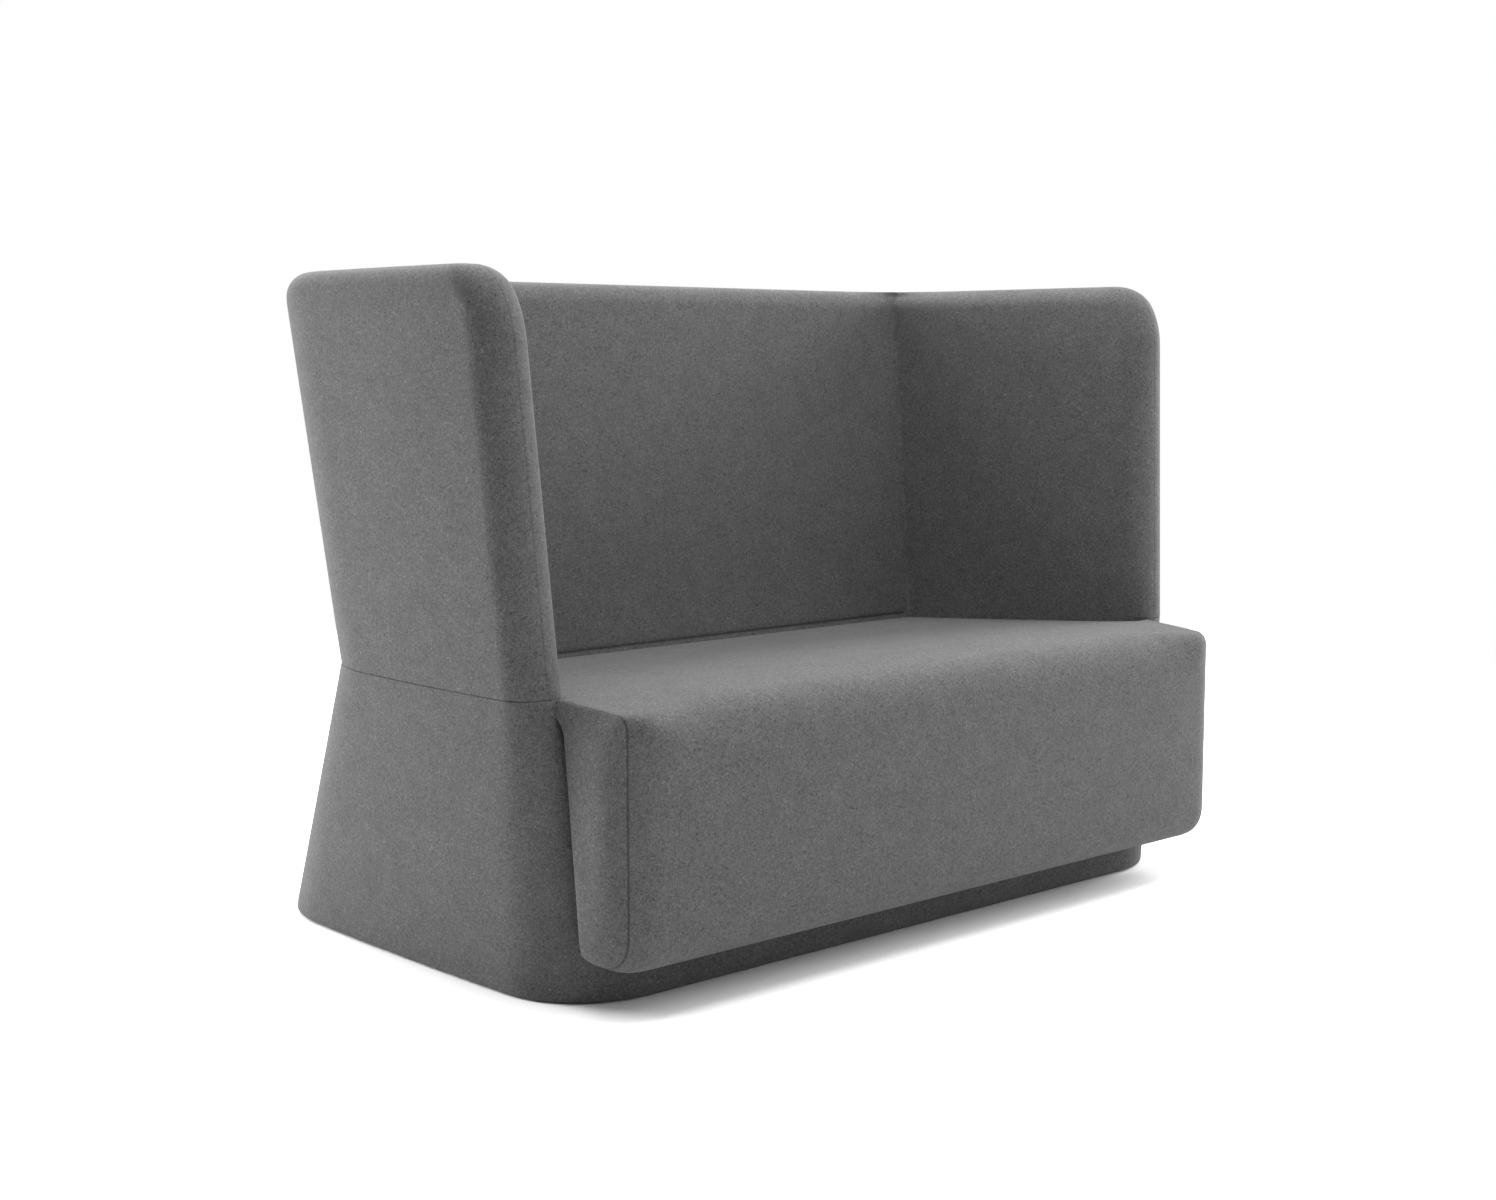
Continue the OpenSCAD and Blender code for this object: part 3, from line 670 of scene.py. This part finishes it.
def seat_slice(x):
    """The seat's profile along one line of the cover, X, Y and Z: from the
    rear of the underside round the front and over the top to the nose line,
    then on to the back of the seat."""
    xt = top_x(x)
    low, yn, z1 = slice_at(x, xt)
    high, _, _ = slice_at(xt, xt)
    n = len(low)
    r0, r1 = n - 3 - M_SIDE, n - 2
    w = np.clip((np.arange(n) - r0) / (r1 - r0), 0, 1)
    w = (w * w * (3 - 2 * w))[:, None]
    yz = low * (1 - w) + high * w
    front_part = np.concatenate([lerp(x, xt, w), yz], 1)
    # top of the seat between the wings
    y1 = INNER[0] - 4.0
    n = 44
    t = np.linspace(0, 1, n + 1)
    y = lerp(yn, y1 - 7, t)
    z = z1 - FALL * np.clip((y - yn) / (y1 - yn), 0, 1)
    rear = np.stack([y, z], 1)
    ze = z[-1]
    rear = np.concatenate([rear, [[y1 - 3.5, ze - 1.6], [y1 - 1.2, ze - 4.5], [y1, ze - 10], [y1, ze - 26], [y1, ze - 46]]])
    return front_part, rear


def build_seat():
    s = Skin()
    xs = seat_xs()
    cols = [-x for x in xs[:0:-1]] + xs
    slices = [seat_slice(abs(x)) for x in cols]
    nf = len(slices[0][0])
    nr = len(slices[0][1])
    pinned_keys = set()

    def V(c, r):
        x, y, z = slices[c][0][r]
        return s.at(("f", c, r), (math.copysign(x, cols[c]), y, z))

    nose_c = (HALF[1] - WT + NOSE_IN, NOSE[1] + NOSE_IN)

    def tuck(x, y, yn):
        """The cover is pulled down beside the wings and at their noses."""
        d = INNER_HW - abs(x)
        if y < nose_c[1]:
            d = math.hypot(nose_c[0] - abs(x), nose_c[1] - y) - NOSE_IN - 2.0
        return 8.0 * math.exp(-max(d, 0) / 5.5) * float(np.clip((y - yn) / 6.0, 0, 1))

    def narrow(x, y, yn):
        """The wings thicken towards the back, so the seat narrows."""
        t = float(np.clip((y - yn - 28.0) / (INNER[0] - yn - 28.0), 0, 1))
        return x * (1 - (TOE + 3.5) * t / INNER_HW)

    def R(c, r):
        if r == 0:
            return V(c, nf - 1)
        x = cols[c]
        y, z = slices[c][1][r]
        yn = slices[c][1][0][0]
        if abs(x) > INNER_HW + 0.1:
            # beside the seat proper the top ends at the nose's rounding
            x, ya, z = s.v[V(c, nf - 1)]
            xa = min(abs(x), nose_c[0])
            ye = nose_c[1] - math.sqrt(max(0.0, NOSE_IN ** 2 - (nose_c[0] - xa) ** 2)) + 2.0
            y = lerp(ya, ye, r / FILL)
            return s.at(("t", c, r), (x, y, z - tuck(x, y, yn) * r / FILL))
        return s.at(("t", c, r), (narrow(x, y, yn), y, z - tuck(x, y, yn)))

    C = len(cols)
    for c in range(C - 1):
        for r in range(nf - 1):
            s.quad(V(c, r), V(c, r + 1), V(c + 1, r + 1), V(c + 1, r))
        if abs(cols[c]) <= INNER_HW + 0.1 and abs(cols[c + 1]) <= INNER_HW + 0.1:
            for r in range(nr - 1):
                s.quad(R(c, r), R(c, r + 1), R(c + 1, r + 1), R(c + 1, r))
        elif max(abs(cols[c]), abs(cols[c + 1])) < SEAT_X - 0.1:
            for r in range(FILL):
                s.quad(R(c, r), R(c, r + 1), R(c + 1, r + 1), R(c + 1, r))
    # side panels, from the end slices back to the cleft at the noses
    vert = range(M_SIDE, nf - M_SIDE)
    nz = len(vert)
    for c, sgn in ((0, -1), (C - 1, 1)):
        pts = slices[c][0]

        def E(i, j):
            if i == 0:
                return V(c, M_SIDE + j)
            if j == 0:
                return V(c, M_SIDE - i)
            if j == nz - 1:
                return V(c, nf - 1 - M_SIDE + i)
            _, y, z = pts[M_SIDE + j]
            zb, zt_ = pts[M_SIDE - i], pts[nf - 1 - M_SIDE + i]
            tj = j / (nz - 1)
            t = i / M_SIDE
            zz = lerp(z, lerp(zb[2], zt_[2], tj), t * 0.6)
            ye = prof(zz, NOSE) - 4.0 - cleft(zz)
            return s.at(("e", c, i, j), (cols[c], lerp(y, ye, t), zz))

        for i in range(M_SIDE):
            for j in range(nz - 1):
                s.quad(E(i, j), E(i + 1, j), E(i + 1, j + 1), E(i, j + 1))
        # the cover turns in behind the block
        turns = list(np.radians((15, 30, 45, 60, 75, 90)))
        N_TURN = len(turns) + 2

        def B(q, j):
            if q == 0:
                return E(M_SIDE, j)
            x, y, z = s.v[E(M_SIDE, j)]
            c_ = cleft(z)
            if q <= len(turns):
                dx, dy = c_ * (1 - math.cos(turns[q - 1])), c_ * math.sin(turns[q - 1])
            else:
                dx, dy = (36.0, 104.0)[q - 1 - len(turns)], c_ + 0.5
            t = 1 - j / (nz - 1)
            z += (under_z(abs(x) - dx, 1.0) - under_z(SEAT_X, 1.0)) * t ** 3
            if j == nz - 1:
                z = SEAT_Z1 - top_drop(abs(x) - dx)
                if q > len(turns):
                    z -= 14.0
            return s.at(("b", c, q, j), (x - sgn * dx, y + dy, z))

        for q in range(N_TURN):
            for j in range(nz - 1):
                s.quad(B(q, j), B(q + 1, j), B(q + 1, j + 1), B(q, j + 1))
    ob = s.mesh("seat_cover")
    keys = {v: k for k, v in s.key.items()}
    pin = np.zeros(len(s.v), bool)
    # per vertex: depth of the corner seams' grooves, and the strength of the painted shade that darkens
    # their colour
    seam = np.zeros(len(s.v))
    for v, key in keys.items():
        kind, c = key[0], key[1]
        x = abs(cols[c])
        if kind == "b":
            pin[v] = True
        if kind == "e" and key[2] == M_SIDE:
            pin[v] = True
        if kind == "f":
            if key[2] <= 2 or (key[2] >= nf - 3 and x > INNER_HW - 1):
                pin[v] = True
            if abs(x - SEAM_X) < 0.1:
                pin[v] = True
                seam[v] = 0.7
        if kind == "t":
            if key[2] >= nr - 6 or x >= INNER_HW - 3:
                pin[v] = True
    return ob, pin, seam


# ---------------------------------------------------------------------------
# Materials
# ---------------------------------------------------------------------------
def new_material(name):
    m = bpy.data.materials.new(name)
    m.use_nodes = True
    nt = m.node_tree
    nt.nodes.clear()
    out = nt.nodes.new("ShaderNodeOutputMaterial")
    b = nt.nodes.new("ShaderNodeBsdfPrincipled")
    nt.links.new(b.outputs[0], out.inputs[0])
    return m, nt, b


def node(nt, kind, **values):
    n = nt.nodes.new(kind)
    for k, v in values.items():
        if k in n.inputs:
            n.inputs[k].default_value = v
        else:
            setattr(n, k, v)
    return n


def ramp(nt, source, stops):
    r = nt.nodes.new("ShaderNodeValToRGB")
    e = r.color_ramp.elements
    e[0].position, e[0].color = stops[0][0], stops[0][1]
    e[1].position, e[1].color = stops[-1][0], stops[-1][1]
    for p, c in stops[1:-1]:
        q = e.new(p)
        q.color = c
    nt.links.new(source, r.inputs[0])
    return r


def grey(v, a=1.0):
    return (v, v, v * 1.004, a)


def mix(nt, a, b, fac, kind="MIX"):
    m = nt.nodes.new("ShaderNodeMix")
    m.data_type = "RGBA"
    m.blend_type = kind
    if isinstance(fac, (int, float)):
        m.inputs[0].default_value = fac
    else:
        nt.links.new(fac, m.inputs[0])
    for sock, val in ((m.inputs[6], a), (m.inputs[7], b)):
        if isinstance(val, tuple):
            sock.default_value = val
        else:
            nt.links.new(val, sock)
    return m.outputs[2]


FELT = 0.071


def felt_material(name="wool_felt", base=FELT, fine=1.0):
    """Melange wool felt: fibres of several greys, tangled, with light and
    dark flecks and a soft nap."""
    m, nt, b = new_material(name)
    tc = node(nt, "ShaderNodeTexCoord")
    obj = tc.outputs["Object"]
    # clouds of tangled fibre
    n1 = node(nt, "ShaderNodeTexNoise", Scale=285.0 * fine, Detail=3.0, Roughness=0.62, Distortion=1.4)
    nt.links.new(obj, n1.inputs["Vector"])
    r1 = ramp(nt, n1.outputs[0], [(0.30, grey(base * 0.50)), (0.50, grey(base)), (0.70, grey(base * 1.62))])
    # short single fibres, lying in two directions
    cols = r1.outputs[0]
    for k, (sc, rot) in enumerate((((760, 140, 430), 0.6), ((160, 700, 360), -0.5))):
        mp = node(nt, "ShaderNodeMapping")
        mp.inputs["Scale"].default_value = sc
        mp.inputs["Rotation"].default_value = (0.35, 0.2, rot)
        nt.links.new(obj, mp.inputs["Vector"])
        n2 = node(nt, "ShaderNodeTexNoise", Scale=1.0, Detail=2.0, Roughness=0.5, Distortion=0.8)
        nt.links.new(mp.outputs[0], n2.inputs["Vector"])
        r2 = ramp(nt, n2.outputs[0], [(0.58, (0, 0, 0, 1)), (0.72, (1, 1, 1, 1))])
        fac = node(nt, "ShaderNodeMath", operation="MULTIPLY")
        nt.links.new(r2.outputs[0], fac.inputs[0])
        fac.inputs[1].default_value = 0.62
        cols = mix(nt, cols, grey(base * (1.9 if k == 0 else 0.45)), fac.outputs[0])
    # large, faint patches where the nap lies differently
    n3 = node(nt, "ShaderNodeTexNoise", Scale=22.0, Detail=3.0, Roughness=0.6)
    nt.links.new(obj, n3.inputs["Vector"])
    r3 = ramp(nt, n3.outputs[0], [(0.3, grey(0.93)), (0.7, grey(1.07))])
    cols = mix(nt, cols, r3.outputs[0], 1.0, "MULTIPLY")
    # painted shade: the colour is darkened at the bottom of a seam, where the covers are drawn together,
    # for the shade that falls into the groove
    seam_shade_mark = nt.nodes.new("ShaderNodeAttribute")
    seam_shade_mark.attribute_name = "seam"
    cols = mix(nt, cols, grey(base * 0.22), seam_shade_mark.outputs["Fac"])
    nt.links.new(cols, b.inputs["Base Color"])
    b.inputs["Roughness"].default_value = 0.92
    b.inputs["Specular IOR Level"].default_value = 0.14
    b.inputs["Sheen Weight"].default_value = 0.05
    b.inputs["Sheen Roughness"].default_value = 0.45
    b.inputs["Sheen Tint"].default_value = (0.9, 0.9, 0.92, 1)
    bump = node(nt, "ShaderNodeBump", Strength=0.35, Distance=0.0007)
    hgt = node(nt, "ShaderNodeTexNoise", Scale=620.0, Detail=4.0, Roughness=0.65, Distortion=0.8)
    nt.links.new(obj, hgt.inputs["Vector"])
    nt.links.new(hgt.outputs[0], bump.inputs["Height"])
    nt.links.new(bump.outputs[0], b.inputs["Normal"])
    return m


def wood_material(name, light, dark, rings=9.0, rough=0.55):
    m, nt, b = new_material(name)
    tc = node(nt, "ShaderNodeTexCoord")
    mp = node(nt, "ShaderNodeMapping")
    mp.inputs["Scale"].default_value = (1.5, 1.5, 14.0)
    nt.links.new(tc.outputs["Object"], mp.inputs["Vector"])
    n1 = node(nt, "ShaderNodeTexNoise", Scale=rings, Detail=6.0, Roughness=0.6, Distortion=1.6)
    nt.links.new(mp.outputs[0], n1.inputs["Vector"])
    r1 = ramp(nt, n1.outputs[0], [(0.32, dark), (0.68, light)])
    n2 = node(nt, "ShaderNodeTexNoise", Scale=420.0, Detail=2.0, Roughness=0.5)
    nt.links.new(tc.outputs["Object"], n2.inputs["Vector"])
    r2 = ramp(nt, n2.outputs[0], [(0.4, grey(0.86)), (0.62, grey(1.05))])
    nt.links.new(mix(nt, r1.outputs[0], r2.outputs[0], 1.0, "MULTIPLY"), b.inputs["Base Color"])
    b.inputs["Roughness"].default_value = rough
    bump = node(nt, "ShaderNodeBump", Strength=0.25, Distance=0.0005)
    nt.links.new(n1.outputs[0], bump.inputs["Height"])
    nt.links.new(bump.outputs[0], b.inputs["Normal"])
    return m


def steel_material(name):
    m, nt, b = new_material(name)
    tc = node(nt, "ShaderNodeTexCoord")
    n1 = node(nt, "ShaderNodeTexNoise", Scale=180.0, Detail=5.0, Roughness=0.6)
    nt.links.new(tc.outputs["Object"], n1.inputs["Vector"])
    r1 = ramp(nt, n1.outputs[0], [(0.35, (0.52, 0.53, 0.55, 1)), (0.65, (0.66, 0.67, 0.69, 1))])
    nt.links.new(r1.outputs[0], b.inputs["Base Color"])
    r2 = ramp(nt, n1.outputs[0], [(0.3, grey(0.28)), (0.7, grey(0.44))])
    nt.links.new(r2.outputs[0], b.inputs["Roughness"])
    b.inputs["Metallic"].default_value = 1.0
    return m


def plastic_material(name):
    m, nt, b = new_material(name)
    tc = node(nt, "ShaderNodeTexCoord")
    n1 = node(nt, "ShaderNodeTexNoise", Scale=900.0, Detail=3.0, Roughness=0.6)
    nt.links.new(tc.outputs["Object"], n1.inputs["Vector"])
    r1 = ramp(nt, n1.outputs[0], [(0.3, grey(0.018)), (0.7, grey(0.030))])
    nt.links.new(r1.outputs[0], b.inputs["Base Color"])
    b.inputs["Roughness"].default_value = 0.5
    bump = node(nt, "ShaderNodeBump", Strength=0.3, Distance=0.0002)
    nt.links.new(n1.outputs[0], bump.inputs["Height"])
    nt.links.new(bump.outputs[0], b.inputs["Normal"])
    return m


def lining_material(name):
    m, nt, b = new_material(name)
    tc = node(nt, "ShaderNodeTexCoord")
    vor = node(nt, "ShaderNodeTexVoronoi", Scale=420.0)
    nt.links.new(tc.outputs["Object"], vor.inputs["Vector"])
    r1 = ramp(nt, vor.outputs["Distance"], [(0.05, grey(0.014)), (0.6, grey(0.030))])
    nt.links.new(r1.outputs[0], b.inputs["Base Color"])
    b.inputs["Roughness"].default_value = 0.85
    bump = node(nt, "ShaderNodeBump", Strength=0.4, Distance=0.0004)
    nt.links.new(vor.outputs["Distance"], bump.inputs["Height"])
    nt.links.new(bump.outputs[0], b.inputs["Normal"])
    return m


felt = felt_material()
by_slot = {
    "wool_felt": felt,
    "beech": wood_material("beech", (0.58, 0.40, 0.23, 1), (0.46, 0.30, 0.16, 1)),
    "plywood": wood_material("plywood", (0.66, 0.51, 0.32, 1), (0.54, 0.39, 0.22, 1), rings=5.0, rough=0.6),
    "zinc_steel": steel_material("zinc_steel"),
    "glide_plastic": plastic_material("glide_plastic"),
    "lining_cloth": lining_material("lining_cloth"),
    "insulator_felt": felt_material("insulator_felt", base=0.12, fine=0.6),
}
slots = {p["node"]: p.get("material_slot") for p in frame["record"]["subparts"]}
for name, ob in frame["nodes"].items():
    ob.data.materials.clear()
    ob.data.materials.append(by_slot[slots.get(name) or "wool_felt"])

# ---------------------------------------------------------------------------
# Covers
# ---------------------------------------------------------------------------
upper, pin, keys, seam_depth_and_shade_u = build_upper()
crown(upper, pin, 0.0035)
# seams: grooves in the cover, with painted shade darkening their colour
groove(upper, seam_depth_and_shade_u)
finish_mesh(upper, 1)

base, pin_b, keys_b = build_base()
orient(base)
crown(base, pin_b, 0.0030)
finish_mesh(base, 1, 0.006)

seat, pin_s, seam_depth_and_shade_s = build_seat()
orient(seat)
crown(seat, pin_s, 0.009)
# seams: grooves in the cover, with painted shade darkening their colour
groove(seat, seam_depth_and_shade_s)
finish_mesh(seat, 1, 0.006)

for ob in (upper, base, seat):
    ob.data.materials.clear()
    ob.data.materials.append(felt)
    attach(ob, "sofa")

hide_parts("wing_pad_left", "wing_pad_right", "back_pad")
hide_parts("lower_side_pad_left", "lower_side_pad_right", "lower_corner_pad_left",
            "lower_corner_pad_right", "lower_back_pad", "plinth_pad")
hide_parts("seat_top_pad", "seat_front_pad")

# ---------------------------------------------------------------------------
# Stage
# ---------------------------------------------------------------------------
floor_me = bpy.data.meshes.new("floor")
floor_me.from_pydata([(-3.4, -3.4, 0), (3.4, -3.4, 0), (3.4, 3.4, 0), (-3.4, 3.4, 0)], [], [(0, 1, 2, 3)])
floor = bpy.data.objects.new("floor", floor_me)
bpy.context.scene.collection.objects.link(floor)
fm, fnt, fb = new_material("floor")
fb.inputs["Base Color"].default_value = (0.95, 0.95, 0.95, 1)
fb.inputs["Roughness"].default_value = 0.9
floor_me.materials.append(fm)

world = bpy.data.worlds.new("studio")
world.use_nodes = True
world.node_tree.nodes["Background"].inputs[0].default_value = (1, 1, 1, 1)
# a white room, dimmer on the side away from the lamps
sky = world.node_tree
sky_dir = node(sky, "ShaderNodeTexCoord")
sky_dot = node(sky, "ShaderNodeVectorMath", operation="DOT_PRODUCT")
sky.links.new(sky_dir.outputs["Generated"], sky_dot.inputs[0])
sky_dot.inputs[1].default_value = (0.676, 0.737, 0.0)
sky_map = node(sky, "ShaderNodeMapRange", interpolation_type="SMOOTHSTEP")
for k, v in (("From Min", -0.35), ("From Max", 0.45), ("To Min", 0.3), ("To Max", 1.0)):
    sky_map.inputs[k].default_value = v
sky.links.new(sky_dot.outputs["Value"], sky_map.inputs["Value"])
sky.links.new(sky_map.outputs["Result"], sky.nodes["Background"].inputs[1])
bpy.context.scene.world = world


def area(name, loc, target, size, power):
    d = bpy.data.lights.new(name, "AREA")
    d.shape = "RECTANGLE"
    d.size, d.size_y = size
    d.energy = power
    o = bpy.data.objects.new(name, d)
    o.location = loc
    o.rotation_euler = (Vector(target) - Vector(loc)).to_track_quat("-Z", "Y").to_euler()
    bpy.context.scene.collection.objects.link(o)
    return o


area("left_rear", (-2.6, 3.4, 1.2), (-0.6, -0.2, 0.4), (1.4, 1.8), 245)
area("top", (0.0, -0.3, 3.6), (0, 0, 0.4), (3.0, 2.4), 171)
area("top_rear", (0.6, 2.6, 3.2), (0, 0, 0.6), (3.0, 1.6), 213)
area("right", (3.6, -0.6, 1.6), (0.6, -0.2, 0.6), (2.0, 2.0), 167)
area("front_right", (2.6, -3.2, 1.5), (0.2, -0.4, 0.5), (2.0, 2.0), 50)
area("front_top", (-0.3, -2.8, 3.4), (0, -0.2, 0.5), (2.4, 1.6), 26)

cam = bpy.data.cameras.new("camera")
cam.lens = 50.79
cam.sensor_width = 36.0
cam.sensor_fit = "HORIZONTAL"
cam.clip_end = 60
cam_ob = bpy.data.objects.new("camera", cam)
cam_ob.location = (-2.4018, -2.6235, 0.8993)
cam_ob.rotation_euler = (math.radians(90 - 6.557), 0.0, math.radians(-42.511))
bpy.context.scene.collection.objects.link(cam_ob)
bpy.context.scene.camera = cam_ob
bpy.context.scene.view_settings.view_transform = "Standard"
